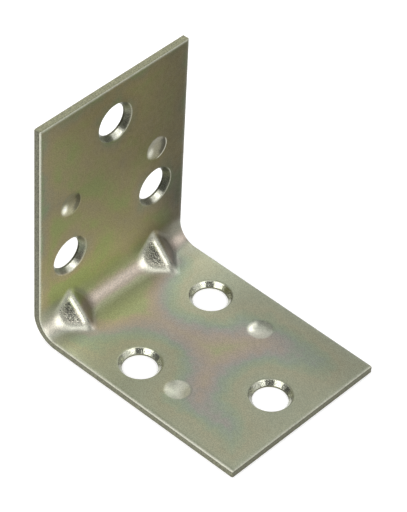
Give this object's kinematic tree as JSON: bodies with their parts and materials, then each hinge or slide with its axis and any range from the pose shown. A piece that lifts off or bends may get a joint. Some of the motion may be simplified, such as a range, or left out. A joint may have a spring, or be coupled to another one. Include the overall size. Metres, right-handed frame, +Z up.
{
  "type": "corner brace bracket",
  "caption": "Folded sheet-steel corner brace: flat legs at a right angle with bevelled screw holes, shallow dents and pressed ribs that stiffen the bend.",
  "frame": {"origin": "heel line at mid width: where the flat outer faces of the two legs would meet if the bend were sharp", "axes": "+X along the base leg away from the heel, +Z up along the upright leg, Y along the bend; the base leg's outer face lies on Z = 0 and the upright's outer face on X = 0"},
  "size_m": [0.0508, 0.0382, 0.0508],
  "materials": {
    "plated_steel": "satin zinc plating with an olive, faintly iridescent passivation"
  },
  "bodies": {
    "root": {"bracket": "plated_steel"}
  },
  "joints": []
}
